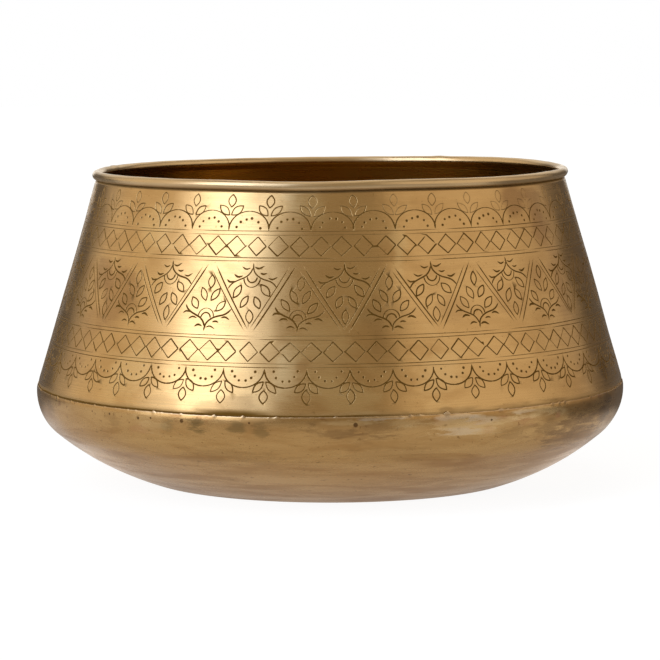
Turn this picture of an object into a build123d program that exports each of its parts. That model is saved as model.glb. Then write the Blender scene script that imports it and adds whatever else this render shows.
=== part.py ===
"""Low round cachepot of sheet brass: a cone-shaped wall with a wired edge, lapped into a spun bowl.

The wall is one strip of sheet, rolled into a cone that leans in towards the mouth. Its ends meet
at the back in a brazed butt seam and its top edge is curled outwards over a wire. Its lower edge
follows the belly and sits inside the edge of the bowl, where a fillet of braze holds it.

Millimetres, +Z up. The origin is the centre of the plane that the bowl stands on. Points of a
section are (r, z): the distance from the axis, and the height.
"""

import os
from math import acos, asin, atan2, cos, degrees, dist, radians, sin

from build123d import *

# Overall form, measured to the outside of the metal.
belly_radius = 200.0
belly_height = 61.3
belly_arc_radius = 35.8
flank_arc_radius = 184.1
base_radius = 125.8

# The bowl. Its edge is dressed thin, so that the lap hardly shows.
bowl_sheet = 0.7
bowl_edge_rise = 4.0
bowl_edge_thickness = 0.3
bowl_edge_dressing = 3.0
base_bend_radius = 6.0
standing_ring_width = 16.0
base_recess_depth = 2.0
base_recess_slope = 30.0

# The wall and its wired edge. The neck sets the curl back over the line of the wall.
wall_sheet = 0.8
wall_lap = 8.0
lap_clearance = 0.1
rim_radius = 158.1
rim_height = 207.1
rim_wire_diameter = 4.5
rim_wire_clearance = 0.05
rim_wire_end_gap = 1.5
neck_drop = 4.5
neck_set_out = 1.25
neck_bend_radius = 2.0
curl_end_gap = 0.6

# The brazed joints.
side_seam_width = 2.0
side_seam_ridge = 0.4
side_seam_ridge_margin = 6.0
belly_braze_leg = 2.5

# How far cuts run past the metal.
overrun = 1.0


def polar(centre, radius, angle):
    """The point at an angle, in degrees, round a centre."""
    return (centre[0] + radius * cos(radians(angle)), centre[1] + radius * sin(radians(angle)))


def heading(start, end):
    """The direction from one point to another, in degrees."""
    return degrees(atan2(end[1] - start[1], end[0] - start[0]))


def across_corner(corner, before, after, thickness):
    """Where the other face of a bent sheet turns, on the left of the way that the sheet runs."""
    half_turn = radians(after - before) / 2
    return polar(corner, thickness / cos(half_turn), (before + after) / 2 + 90)


# The belly: bowl and wall turn round one centre there, so that they nest.
belly_centre = (belly_radius - belly_arc_radius, belly_height)
bowl_inner_arc = belly_arc_radius - bowl_sheet
wall_outer_arc = bowl_inner_arc - lap_clearance
wall_inner_arc = wall_outer_arc - wall_sheet
bowl_edge_angle = degrees(asin(bowl_edge_rise / belly_arc_radius))
bowl_dressing_angle = bowl_edge_angle - degrees(bowl_edge_dressing / belly_arc_radius)
wall_edge_angle = bowl_edge_angle - degrees(wall_lap / wall_outer_arc)

# The flank of the bowl is one large arc, from the edge of the base to a tangent with the belly.
base_edge = (base_radius, 0)
base_to_belly = dist(base_edge, belly_centre)
flank_centre_reach = flank_arc_radius - belly_arc_radius
base_turn = degrees(
    acos(
        (flank_arc_radius**2 + base_to_belly**2 - flank_centre_reach**2)
        / (2 * flank_arc_radius * base_to_belly)
    )
)
flank_centre = polar(base_edge, flank_arc_radius, heading(base_edge, belly_centre) + base_turn)
base_edge_angle = heading(flank_centre, base_edge)
flank_inner_arc = flank_arc_radius - bowl_sheet
flank_top_angle = heading(flank_centre, belly_centre)
flank_inner_foot_angle = degrees(asin((bowl_sheet - flank_centre[1]) / flank_inner_arc))

# The base: a flat ring to stand on, round a centre that is pressed up.
ring_inner = (base_radius - standing_ring_width, 0)
recess_edge = (
    ring_inner[0] - base_recess_depth / sin(radians(base_recess_slope)) * cos(radians(base_recess_slope)),
    base_recess_depth,
)
recess_floor_edge = across_corner(recess_edge, 0, -base_recess_slope, bowl_sheet)
ring_floor_edge = across_corner(ring_inner, -base_recess_slope, 0, bowl_sheet)
floor_edge = polar(flank_centre, flank_inner_arc, flank_inner_foot_angle)
recess_top = base_recess_depth + bowl_sheet

# The wired edge: the curl turns round the wire, and the neck touches it on the inside.
rim_centre = (rim_radius, rim_height)
curl_inner_radius = rim_wire_diameter / 2 + rim_wire_clearance
curl_outer_radius = curl_inner_radius + wall_sheet
neck_corner = (rim_radius + neck_set_out, rim_height - neck_drop)
neck_touch_turn = degrees(acos(curl_inner_radius / dist(rim_centre, neck_corner)))
curl_start_angle = heading(rim_centre, neck_corner) - neck_touch_turn
neck_touch = polar(rim_centre, curl_inner_radius, curl_start_angle)
curl_end_turn = degrees(acos((curl_inner_radius - curl_end_gap) / curl_outer_radius))
curl_end_angle = curl_start_angle + curl_end_turn
curl_turn = 360 - curl_end_turn
rim_top = rim_height + curl_outer_radius

# The cone runs down from the neck to a tangent with the belly.
cone_touch_turn = degrees(acos(wall_outer_arc / dist(belly_centre, neck_corner)))
cone_angle = heading(belly_centre, neck_corner) - cone_touch_turn
cone_foot = polar(belly_centre, wall_outer_arc, cone_angle)
cone_inner_foot = polar(belly_centre, wall_inner_arc, cone_angle)
cone_heading = heading(cone_foot, neck_corner)
neck_inner_corner = across_corner(neck_corner, cone_heading, heading(neck_corner, neck_touch), wall_sheet)

# The section of the wall, from its lower edge up the outside, round the curl and down the inside.
with BuildSketch(Plane.XZ) as wall_section:
    with BuildLine():
        CenterArc(belly_centre, wall_outer_arc, wall_edge_angle, cone_angle - wall_edge_angle)
        Polyline(cone_foot, neck_corner, neck_touch)
        CenterArc(rim_centre, curl_inner_radius, curl_start_angle, -curl_turn)
        Line(
            polar(rim_centre, curl_inner_radius, curl_end_angle),
            polar(rim_centre, curl_outer_radius, curl_end_angle),
        )
        CenterArc(rim_centre, curl_outer_radius, curl_end_angle, curl_turn)
        Polyline(polar(rim_centre, curl_outer_radius, curl_start_angle), neck_inner_corner, cone_inner_foot)
        CenterArc(belly_centre, wall_inner_arc, cone_angle, wall_edge_angle - cone_angle)
        Line(
            polar(belly_centre, wall_inner_arc, wall_edge_angle),
            polar(belly_centre, wall_outer_arc, wall_edge_angle),
        )
    make_face()
    fillet(wall_section.vertices().sort_by_distance(neck_corner)[0], neck_bend_radius + wall_sheet)
    fillet(wall_section.vertices().sort_by_distance(neck_inner_corner)[0], neck_bend_radius)

# The wall: a full turn of its section, open at the back where the ends of the strip meet.
with BuildPart() as wall:
    add(wall_section.sketch)
    revolve(axis=Axis.Z)
    with BuildSketch(Plane.XY):
        Rectangle(side_seam_width, belly_radius + overrun, align=(Align.CENTER, Align.MIN))
    extrude(amount=rim_top + overrun, mode=Mode.SUBTRACT)

# The braze in the side seam is dressed flush outside and stands up as a low ridge inside.
with BuildPart() as side_braze:
    add(wall_section.sketch)
    with BuildSketch(Plane.XZ):
        with BuildLine():
            ridge_foot = polar(cone_inner_foot, side_seam_ridge_margin, cone_heading)
            ridge_head = polar(neck_inner_corner, -side_seam_ridge_margin, cone_heading)
            Polyline(
                ridge_foot,
                ridge_head,
                polar(ridge_head, side_seam_ridge, cone_heading + 90),
                polar(ridge_foot, side_seam_ridge, cone_heading + 90),
                close=True,
            )
        make_face()
    revolve(axis=Axis.Z)
    with BuildSketch(Plane.XY):
        Rectangle(side_seam_width, belly_radius + overrun, align=(Align.CENTER, Align.MIN))
    extrude(amount=rim_top + overrun, mode=Mode.INTERSECT)

# The wire in the rim: one ring, its ends nearly meeting behind the side seam.
with BuildPart() as rim_wire:
    with BuildSketch(Plane.XZ):
        with Locations(rim_centre):
            Circle(rim_wire_diameter / 2)
    revolve(axis=Axis.Z)
    with BuildSketch(Plane.XY):
        Rectangle(rim_wire_end_gap, belly_radius, align=(Align.CENTER, Align.MIN))
    extrude(amount=rim_top + overrun, mode=Mode.SUBTRACT)

# The bowl: spun from one disc, from the dressed edge round the belly and flank to the base.
with BuildPart() as bowl:
    with BuildSketch(Plane.XZ) as bowl_section:
        with BuildLine():
            dressing_foot = polar(belly_centre, belly_arc_radius, bowl_dressing_angle)
            edge_outer = polar(belly_centre, bowl_inner_arc + bowl_edge_thickness, bowl_edge_angle)
            edge_inner = polar(belly_centre, bowl_inner_arc, bowl_edge_angle)
            Polyline(edge_inner, edge_outer, dressing_foot)
            CenterArc(
                belly_centre, belly_arc_radius, bowl_dressing_angle, flank_top_angle - bowl_dressing_angle
            )
            CenterArc(flank_centre, flank_arc_radius, flank_top_angle, base_edge_angle - flank_top_angle)
            Polyline(
                base_edge,
                ring_inner,
                recess_edge,
                (0, base_recess_depth),
                (0, recess_top),
                recess_floor_edge,
                ring_floor_edge,
                floor_edge,
            )
            CenterArc(
                flank_centre,
                flank_inner_arc,
                flank_inner_foot_angle,
                flank_top_angle - flank_inner_foot_angle,
            )
            CenterArc(belly_centre, bowl_inner_arc, flank_top_angle, bowl_edge_angle - flank_top_angle)
        make_face()
        for corner in (floor_edge, ring_floor_edge, recess_edge):
            fillet(bowl_section.vertices().sort_by_distance(corner)[0], base_bend_radius)
        for corner in (base_edge, ring_inner, recess_floor_edge):
            fillet(bowl_section.vertices().sort_by_distance(corner)[0], base_bend_radius + bowl_sheet)
    revolve(axis=Axis.Z)

# The braze at the belly: a fillet inside, from the wall's lower edge down along the bowl. It stays
# clear of the bowl by the film that fills the lap.
with BuildPart() as belly_braze:
    with BuildSketch(Plane.XZ):
        with BuildLine():
            braze_foot_angle = wall_edge_angle - degrees(belly_braze_leg / wall_outer_arc)
            Polyline(
                polar(belly_centre, wall_inner_arc, wall_edge_angle),
                polar(belly_centre, wall_outer_arc, wall_edge_angle),
                polar(belly_centre, wall_outer_arc, braze_foot_angle),
                close=True,
            )
        make_face()
    revolve(axis=Axis.Z)

os.makedirs("parts", exist_ok=True)
wall.part.label = "wall"
export_step(wall.part, "parts/wall.step")
side_braze.part.label = "side_braze"
export_step(side_braze.part, "parts/side_braze.step")
rim_wire.part.label = "rim_wire"
export_step(rim_wire.part, "parts/rim_wire.step")
bowl.part.label = "bowl"
export_step(bowl.part, "parts/bowl.step")
belly_braze.part.label = "belly_braze"
export_step(belly_braze.part, "parts/belly_braze.step")
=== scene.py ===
"""Looks for a low, round cachepot of engraved sheet brass.

Lengths are in millimetres until a mesh is made. A place on the pot is (phi, z): the angle round
the axis in radians, from the front (-Y) towards +X, and the height. A section's points are (r, z).
"""

from math import acos, asin, atan, atan2, cos, dist, pi, radians, sin, sqrt, tan

import bpy
import numpy as np
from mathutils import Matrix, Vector, geometry, kdtree


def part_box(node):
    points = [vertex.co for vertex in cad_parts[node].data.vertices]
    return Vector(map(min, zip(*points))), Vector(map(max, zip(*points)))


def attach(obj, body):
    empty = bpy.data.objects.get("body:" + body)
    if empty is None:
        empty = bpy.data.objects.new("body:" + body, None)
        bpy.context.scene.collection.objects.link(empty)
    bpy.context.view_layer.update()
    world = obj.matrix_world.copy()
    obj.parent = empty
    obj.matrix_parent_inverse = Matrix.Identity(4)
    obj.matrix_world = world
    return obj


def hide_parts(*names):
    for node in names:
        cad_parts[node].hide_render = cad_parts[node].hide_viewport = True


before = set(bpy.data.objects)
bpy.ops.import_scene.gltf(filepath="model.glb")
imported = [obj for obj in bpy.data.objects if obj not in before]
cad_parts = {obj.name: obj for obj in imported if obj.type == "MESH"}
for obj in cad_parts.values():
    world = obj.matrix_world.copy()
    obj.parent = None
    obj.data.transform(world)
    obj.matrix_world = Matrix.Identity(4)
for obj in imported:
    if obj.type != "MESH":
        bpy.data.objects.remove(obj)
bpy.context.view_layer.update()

scene = bpy.context.scene
MM = 0.001
rng = np.random.RandomState(7)
vary = rng.uniform

# Form, the same as the part's, in millimetres. The belly and the rim's top come from the parts in model.glb.
belly_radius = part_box("bowl")[1].x / MM
rim_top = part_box("wall")[1].z / MM
belly_height = 61.3
belly_arc = 35.8
flank_arc = 184.1
base_radius = 125.8
bowl_sheet = 0.7
bowl_edge_rise = 4.0
bowl_edge_dressing = 3.0
ring_width = 16.0
recess_depth = 2.0
recess_slope = radians(30)
base_bend = 6.0
wall_sheet = 0.8
wall_lap = 8.0
lap_clearance = 0.1
rim_radius = 158.1
wire_radius = 2.25
wire_clearance = 0.05
wire_half_gap = 0.75
neck_drop = 4.5
neck_set_out = 1.25
neck_bend = 2.0
curl_end_gap = 0.6
seam_half_width = 1.0
seam_crown = 0.12
braze_leg = 2.5

# How far the hand-made pot departs from the drawn one: the slope of its rim, then millimetres. The
# ring that it stands on is true, and the departures come in over a height above it.
rim_lean = 0.0078
out_of_round = 0.25
dent_depth = 0.15
burr_reach = 0.36
departure_height = 25.0

# The meshes: points round the wall and the bowl, points of the bowl's edge to each of the bowl's,
# where its flat middle starts from the axis, and the turn by which the flank stays off its bends.
columns = 240
bowl_columns = 360
edge_share = 6
axis_edge = 4.0
flank_trim = 0.006


# Plane geometry

def pair(a, b):
    """Two coordinates, for many points at once."""
    return np.stack([a, b], axis=-1)


def polar(centre, radius, angle):
    return (centre[0] + radius * np.cos(angle), centre[1] + radius * np.sin(angle))


def heading(start, end):
    return atan2(end[1] - start[1], end[0] - start[0])


def arc(centre, radius, start, end, count):
    """Points along an arc, both ends included."""
    return [polar(centre, radius, start + (end - start) * i / count) for i in range(count + 1)]


def line(start, end, count):
    """Points along a line, both ends included."""
    return [(start[0] + (end[0] - start[0]) * i / count, start[1] + (end[1] - start[1]) * i / count)
            for i in range(count + 1)]


def opposite(corner, before, after, thickness):
    """Where the other face of a bent sheet turns, on the left of the way that the sheet runs."""
    return polar(corner, thickness / cos((after - before) / 2), (before + after) / 2 + pi / 2)


def bend(before, corner, after, radius, count):
    """The rounded corner between two straight runs."""
    inward, outward = heading(corner, before), heading(corner, after)
    half = ((outward - inward + pi) % (2 * pi) - pi) / 2
    centre = polar(corner, radius / abs(sin(half)), inward + half)
    reach = radius / abs(tan(half))
    first, last = (heading(centre, polar(corner, reach, way)) for way in (inward, outward))
    turn = (last - first + pi) % (2 * pi) - pi
    return arc(centre, radius, first, first + turn, count)


def bends(corners, radii):
    """The rounded corners along a run."""
    runs = zip(corners, corners[1:], corners[2:], radii)
    return [p for before, corner, after, radius in runs for p in bend(before, corner, after, radius, 4)]


# The section of the pot

belly_centre = (belly_radius - belly_arc, belly_height)
base_edge = (base_radius, 0)
base_to_belly = dist(base_edge, belly_centre)
flank_reach = flank_arc - belly_arc
base_turn = acos((flank_arc ** 2 + base_to_belly ** 2 - flank_reach ** 2) / (2 * flank_arc * base_to_belly))
flank_middle = polar(base_edge, flank_arc, heading(base_edge, belly_centre) + base_turn)
flank_top = heading(flank_middle, belly_centre)
flank_top_height = polar(belly_centre, belly_arc, flank_top)[1]
bowl_inner_arc = belly_arc - bowl_sheet
wall_outer_arc = bowl_inner_arc - lap_clearance
wall_inner_arc = wall_outer_arc - wall_sheet
bowl_edge_angle = asin(bowl_edge_rise / belly_arc)
wall_edge_angle = bowl_edge_angle - wall_lap / wall_outer_arc

curl_inner = wire_radius + wire_clearance
curl_outer = curl_inner + wall_sheet
rim_centre = (rim_radius, rim_top - curl_outer)
neck_corner = (rim_radius + neck_set_out, rim_centre[1] - neck_drop)
curl_start = heading(rim_centre, neck_corner) - acos(curl_inner / dist(rim_centre, neck_corner))
neck_touch = polar(rim_centre, curl_inner, curl_start)
curl_end_turn = acos((curl_inner - curl_end_gap) / curl_outer)

cone_angle = heading(belly_centre, neck_corner) - acos(
    wall_outer_arc / dist(belly_centre, neck_corner))
cone_foot = polar(belly_centre, wall_outer_arc, cone_angle)
cone_inner_foot = polar(belly_centre, wall_inner_arc, cone_angle)
cone_heading = heading(cone_foot, neck_corner)
neck_heading = heading(neck_corner, neck_touch)
neck_inner_corner = opposite(neck_corner, cone_heading, neck_heading, wall_sheet)
cone_slope = (cone_foot[0] - neck_corner[0]) / (neck_corner[1] - cone_foot[1])
slant = 1 / cos(atan(cone_slope))


def cone_radius(z):
    """The radius of the wall's outer face at a height."""
    return cone_foot[0] - (z - cone_foot[1]) * cone_slope


# The hand of the maker: small departures that every piece shares

def wrap(phi):
    """An angle brought between -pi and pi."""
    return (phi + pi) % (2 * pi) - pi


def lean(z):
    """How far the tilt of the rim and seam has come in at a height."""
    t = np.clip(z / belly_height, 0, 1)
    return rim_lean * t * t * (3 - 2 * t)


def dents(phi, z):
    """Shallow dents and waves left in the sheet by planishing."""
    wave = (np.sin(5 * phi + z / 31 + 1.1) + 0.7 * np.sin(9 * phi - z / 19 + 0.3)
            + 0.6 * np.sin(14 * phi + z / 15 + 2.0) + 0.45 * np.sin(23 * phi - z / 9.5)
            + 0.3 * np.sin(37 * phi + z / 7 + 4.0))
    return dent_depth * wave


# Where the rim rises or dips, trued by eye: place in degrees, half width in degrees, and height.
rim_swells = ((128, 50, 1.3), (-125, 40, 0.35), (-6, 22, -0.75), (44, 30, -0.6))
swell_start = 160.0


def hump(phi, place, half_width):
    """A smooth bump round the axis, from 0 to 1. Its place and half width are in degrees."""
    away = np.abs(wrap(phi - radians(place))) / radians(half_width)
    return np.cos(np.clip(away, 0, 1) * pi / 2) ** 2


def swell(phi, z):
    """How far the rim, and the wall just under it, stray from a level ring."""
    share = np.clip((z - swell_start) / (rim_top - swell_start), 0, 1) ** 2
    return share * sum(rise * hump(phi, place, width) for place, width, rise in rim_swells)


def round_the_axis(phi, r, z):
    """Points in millimetres, an (n, 3) array, of places given round the axis."""
    phi, r, z = np.broadcast_arrays(np.asarray(phi, float), np.asarray(r, float), np.asarray(z, float))
    settled = np.clip(z / departure_height, 0, 1)
    r = r + settled * (out_of_round * np.cos(2 * phi + 0.6) + dents(phi, z))
    x, y = r * np.sin(phi), -r * np.cos(phi)
    return np.stack([x, y, z + lean(z) * x + swell(phi, z)], axis=-1)


def seam_angle(u, r):
    """The angle at a share u of the way round, from -1 to 1, that leaves the side seam's slot open."""
    return u * (pi - np.arcsin(seam_half_width / r))


# Meshes

def unit(v):
    return v / np.maximum(np.linalg.norm(v, axis=-1, keepdims=True), 1e-12)


def place_object(name, data):
    """Puts a mesh or camera in the scene."""
    made = bpy.data.objects.new(name, data)
    scene.collection.objects.link(made)
    return made


class Skin:
    """A mesh under construction: points in millimetres, faces, and a normal for each face corner."""

    def __init__(self):
        self.points, self.cut, self.faces, self.normals, self.smooth = np.zeros((0, 3)), [], [], [], []

    def add(self, points, cut=0.0):
        """Adds points, with the patina and painted shade that they hold, and returns their numbers."""
        first = len(self.points)
        self.points = np.concatenate([self.points, np.reshape(points, (-1, 3))])
        self.cut.append(np.full(len(self.points) - first, cut))
        return list(range(first, len(self.points)))

    def face(self, corners, normals, smooth=True):
        self.faces.append(corners)
        self.normals.extend(normals)
        self.smooth.append(smooth)

    def build(self, name, material):
        mesh = bpy.data.meshes.new(name)
        mesh.from_pydata((self.points * MM).tolist(), [], self.faces)
        mesh.polygons.foreach_set("use_smooth", self.smooth)
        # The cut attribute holds the patina in the graver's cuts and the painted shade under the bead and
        # inside.
        attribute = mesh.attributes.new("cut", "FLOAT", "POINT")
        attribute.data.foreach_set("value", np.concatenate(self.cut).astype(np.float32))
        mesh.materials.append(material)
        mesh.update()
        mesh.normals_split_custom_set(np.array(self.normals).tolist())
        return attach(place_object(name, mesh), "root")


def section_normals(grid, closed_section=False, closed_round=False):
    """Normals of a run of rings. A closed section has its first ring again at its end."""
    if closed_section:
        grid = np.concatenate([grid[-2:-1], grid, grid[1:2]])
    if closed_round:
        across = np.roll(grid, -1, axis=1) - np.roll(grid, 1, axis=1)
    else:
        across = np.gradient(grid, axis=1)
    normals = unit(np.cross(across, np.gradient(grid, axis=0)))
    return normals[1:-1] if closed_section else normals


def add_run(skin, grid, closed_round=False, first=None, last=None, first_normals=None, last_normals=None,
            closed_section=False, cut=None):
    """Adds a smooth run of rings and returns their point numbers. Its ends may be rings that exist."""
    normals = section_normals(grid, closed_section, closed_round)
    if first_normals is not None:
        normals[0] = first_normals
    if last_normals is not None:
        normals[-1] = last_normals
    rings = [first] + [None] * (len(grid) - 2) + [last]
    for i, row in enumerate(grid):
        if closed_section and i == len(grid) - 1:
            rings[i] = rings[0]
        elif rings[i] is None:
            rings[i] = skin.add(row, cut[i] if cut else 0.0)
    n = len(rings[0])
    for low, high, below, above in zip(rings, rings[1:], normals, normals[1:]):
        for k in range(n if closed_round else n - 1):
            m = (k + 1) % n
            skin.face([low[k], low[m], high[m], high[k]], [below[k], below[m], above[m], above[k]])
    return rings


def join_rings(skin, start, end, closed_round=False):
    add_run(skin, skin.points[np.array([start, end])], closed_round, first=start, last=end)


def turn_section(section, angles):
    """The rings of a section. angles gives the places round the axis for a radius."""
    return np.array([round_the_axis(angles(np.asarray(r, float)), r, z) for r, z in section])


def cap(skin, loop, flip):
    """Closes the end of a strip with one flat face."""
    points = skin.points[loop]
    normal = unit(np.cross(points, np.roll(points, -1, axis=0)).sum(axis=0))
    skin.face(loop[::-1] if flip else loop, [-normal if flip else normal] * len(loop), smooth=False)


def cap_ends(skin, rings):
    for column in (0, -1):
        cap(skin, [ring[column] for ring in rings], column == 0)


# The engraving: strokes on the unrolled wall

class Stroke:
    """One stroke of the graver: a line of places, with a half width and a depth at each."""

    def __init__(self, places, half_width, depth, stain=1.0):
        self.places, self.half_width = np.asarray(places, float), half_width
        self.depth, self.stain = depth, stain


strokes = []
dots = []


def tapered(count, start, end):
    """A stroke's strength from 0 to 1, thinned over the given shares of its ends."""
    t = np.linspace(0, 1, count)
    rise, fall = (np.clip(run / share, 0, 1) if share else np.ones(count)
                  for run, share in ((t, start), (1 - t, end)))
    return np.sqrt(np.minimum(rise, fall))


def put(phi, z, offsets):
    """Places of offsets, in millimetres round and up the wall's slope, from a place."""
    offsets = np.asarray(offsets, float)
    zs = z + offsets[:, 1] / slant
    return pair(phi + offsets[:, 0] / cone_radius(zs), zs)


def stations(count, first, stray):
    """Places at an even pitch round the wall. The first, and how far each may stray, are in degrees."""
    for k in range(count):
        yield radians(first) + k * (2 * pi / count) + radians(vary(-stray, stray))


def cut_line(phi, z, offsets, width, depth, start=0, end=0, stain=1.0):
    """Cuts a stroke through offsets from a place, with the small unevenness of a hand."""
    share = vary(0.82, 1.18) * tapered(len(offsets), start, end)
    strokes.append(Stroke(put(phi, z, offsets), width / 2 * share, depth * share, stain))


def turned(offsets, angle, size=1.0, move=(0.0, 0.0)):
    """Offsets turned clockwise by an angle in degrees, scaled and moved."""
    a = radians(angle)
    x, y = (np.asarray(offsets, float) * size).T
    return pair(x * cos(a) + y * sin(a), y * cos(a) - x * sin(a)) + move


def curve(points, count):
    """A smooth curve through a few points."""
    p = np.asarray(points, float)
    p = np.concatenate([[2 * p[0] - p[1]], p, [2 * p[-1] - p[-2]]])
    out = []
    for a, b, c, d in zip(p, p[1:], p[2:], p[3:]):
        for t in np.linspace(0, 1, count, endpoint=False):
            out.append(0.5 * (2 * b + (c - a) * t + (2 * a - 5 * b + 4 * c - d) * t ** 2
                              + (3 * b - a - 3 * c + d) * t ** 3))
    return np.array(out + [p[-2]])


def cut_leaf(phi, z, at, length, width, angle, stain=1.0, share=1.0):
    """A pointed leaf, cut in two bowed strokes from its base to its tip. The angle is from upright."""
    length, width = length * vary(0.93, 1.07), width * vary(0.9, 1.1)
    angle, at = angle + vary(-5, 5), np.asarray(at, float) + vary(-0.35, 0.35, 2)
    t = np.linspace(0, 1, 8)
    for side in (1, -1):
        half = pair(side * width / 2 * np.sin(pi * t) ** 0.9, (t - 0.5) * length)
        cut_line(phi, z, turned(half, angle, 1, at), 0.9 * share, 0.21 * share, stain=stain)


def cut_dots(phi, z, radius, way):
    """Six punched dots on an inner arc of a scallop."""
    for i in range(6):
        angle = radians(16 + 29.6 * i + vary(-4, 4))
        reach = radius + vary(-0.5, 0.4)
        place = put(phi, z, [(-reach * cos(angle), way * reach * sin(angle))])[0]
        dots.append((*place, vary(0.85, 1.1), vary(0.26, 0.38)))


# The upper sprigs are cut lightly to the right of the front.
light_arc, light_share = (radians(10), radians(75)), 0.62


def cut_scallops(count, first, z, way, rise, thin, leaves):
    """A row of scallops that rise or hang from a line, with dots inside and a sprig at each cusp.
    Each is cut in two strokes from its cusps, which thin to a share of their width."""
    pitch = 2 * pi / count
    angles = np.linspace(0, pi / 2 + 0.12, 11)
    for phi in stations(count, first, 0.12):
        half = pitch / 2 * cone_radius(z) + 0.1
        height = rise * vary(0.97, 1.03)
        for side in (-1, 1):
            arch = pair(side * half * np.cos(angles), way * (height * np.sin(angles) ** 0.92))
            share = np.linspace(1, thin, len(arch)) * vary(0.9, 1.1) * tapered(len(arch), 0.05, 0.1)
            strokes.append(Stroke(put(phi + pitch / 2, z, arch), 0.56 * share, 0.25 * share))
        cut_dots(phi + pitch / 2, z, 0.61 * half, way)
        light = way > 0 and light_arc[0] < phi < light_arc[1]
        for leaf in leaves:
            cut_leaf(phi, z, *leaf, 0.4 if way > 0 else 1.0, light_share if light else 1.0)


def cut_lozenges(count, first, low, high, share):
    """A row of lozenges, each of four strokes that hardly meet."""
    pitch = 2 * pi / count
    middle = (low + high) / 2
    for phi in stations(count, first, 0.2):
        half_width = pitch / 2 * cone_radius(middle) * share * vary(0.91, 1.0)
        half_height = (high - low) / 2 * slant * vary(0.91, 0.98)
        drift = vary(-0.4, 0.4)
        tips = np.array([(0, half_height), (half_width, drift),
                         (0.3 * drift, -half_height), (-half_width, drift)])
        for a, b in zip(tips, np.roll(tips, -1, axis=0)):
            nudge = vary(-0.15, 0.15, (2, 2))
            strength = rng.choice([0.6, 0.9, 1.1, 1.3], p=[0.1, 0.3, 0.4, 0.2])
            stop = vary(0.94, 1.0) if rng.rand() > 0.08 else vary(0.5, 0.8)
            start, end = a + nudge[0], b + nudge[1]
            start = start - (end - start) * vary(-0.03, 0.01)
            side = line(start, start + (end - start) * stop, 4)
            cut_line(phi, middle, side, 0.85 * strength ** 0.5, 0.19 * strength)


# The plant in each triangle of the zigzag, as offsets round the wall and heights, stem down.
plant_foot, hung_foot = 116.3, 159.4
plant_leaves = (
    ((0.6, 146.9), 9.0, 4.5, 2), ((-3.4, 138.9), 9.0, 4.1, -29), ((4.9, 138.8), 9.0, 4.2, 32),
    ((-8.6, 133.0), 8.9, 4.4, -33), ((9.1, 132.2), 9.0, 4.4, 42))
plant_arms = (
    ((0.0, 116.3), (0.4, 119.6), (1.4, 121.9), (3.9, 124.1), (7.3, 125.7), (11.8, 126.8), (14.8, 128.5),
     (17.1, 131.1)),
    ((0.1, 119.0), (-1.0, 121.8), (-3.5, 124.4), (-7.5, 126.2), (-11.5, 128.0), (-13.9, 130.0),
     (-15.2, 132.1)))
plant_tendrils = (
    ((0.8, 118.7), (3.9, 119.7), (7.7, 117.9)), ((4.8, 122.1), (7.2, 122.8), (9.6, 122.1)),
    ((10.2, 124.8), (13.3, 125.6), (16.7, 123.9)), ((-7.2, 118.8), (-4.4, 120.3), (-1.3, 119.4)),
    ((-12.2, 123.2), (-9.2, 124.9), (-5.6, 124.0)), ((-16.6, 126.5), (-14.2, 128.0), (-10.7, 127.3)))
plant_flower = (((0.1, 125.4), 5.3, 0.45), ((0.1, 124.7), 3.2, 0.9))


def cut_plant(phi, foot, way):
    """One plant: a forked stem with tendrils, a flower of two arcs, and five leaves."""
    size, tilt = vary(0.97, 1.03), vary(-2.5, 2.5)
    stretch = slant if way > 0 else 1.07 * slant

    def local(points):
        return turned([(x, way * (z - plant_foot) * stretch) for x, z in points], tilt, size)

    for at, length, width, angle in plant_leaves:
        cut_leaf(phi, foot, local([at])[0], length, width, angle * way)
    for arm in plant_arms:
        cut_line(phi, foot, local(curve(arm, 2)), 1.1, 0.26, 0.04, 0.1)
    for tendril in plant_tendrils:
        cut_line(phi, foot, local(curve(tendril, 3)), 1.25, 0.26, 0.35, 0.35)
    angles = np.linspace(-0.12, pi / 2 + 0.1, 7)
    for (x, z), radius, thin in plant_flower:
        for side in (-1, 1):
            hoop = [(x + side * radius * cos(a), z + radius / slant * sin(a)) for a in angles]
            share = np.linspace(1, thin, 7) * vary(0.9, 1.15) * tapered(7, 0.1, 0)
            strokes.append(Stroke(put(phi, foot, local(hoop)), 0.53 * share, 0.24 * share))


# The sides of the zigzag: for each line, how far its top and foot stand from the apexes, in
# degrees, the heights of its ends, and its strength. The first two fall to the right.
zigzag_lines = (
    (1, 1.15, 0.12, 157.2, 117.9, 1.15), (1, 0.3, -0.64, 154.9, 117.4, 0.7),
    (-1, -0.4, 0.91, 157.6, 116.6, 1.15), (-1, -1.67, 0.3, 157.2, 118.6, 0.7))


def cut_zigzag(count, first):
    """The tall zigzag band: double lines, with a plant upright in one triangle and hung in the next."""
    pitch = 2 * pi / count
    for top in stations(count, first, 0.15):
        for way, at_top, at_foot, high, low, strength in zigzag_lines:
            a = (top + radians(at_top + vary(-0.12, 0.12)), high + vary(-0.8, 0.8))
            foot = at_foot + vary(-0.12, 0.12)
            b = (top + way * pitch / 2 + radians(foot), low + vary(-0.6, 0.6))
            weight = strength * vary(0.85, 1.15)
            share = tapered(9, 0.05, 0.05)
            strokes.append(Stroke(line(a, b, 8), 0.46 * weight ** 0.7 * share, 0.2 * weight * share))
        cut_plant(top + radians(vary(-0.3, 0.3)), plant_foot, 1)
        cut_plant(top + pitch / 2 + radians(vary(-0.3, 0.3)), hung_foot, -1)


border_lines = (178.6, 176.4, 162.3, 160.0, 114.4, 112.3, 97.5, 95.3)


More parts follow.
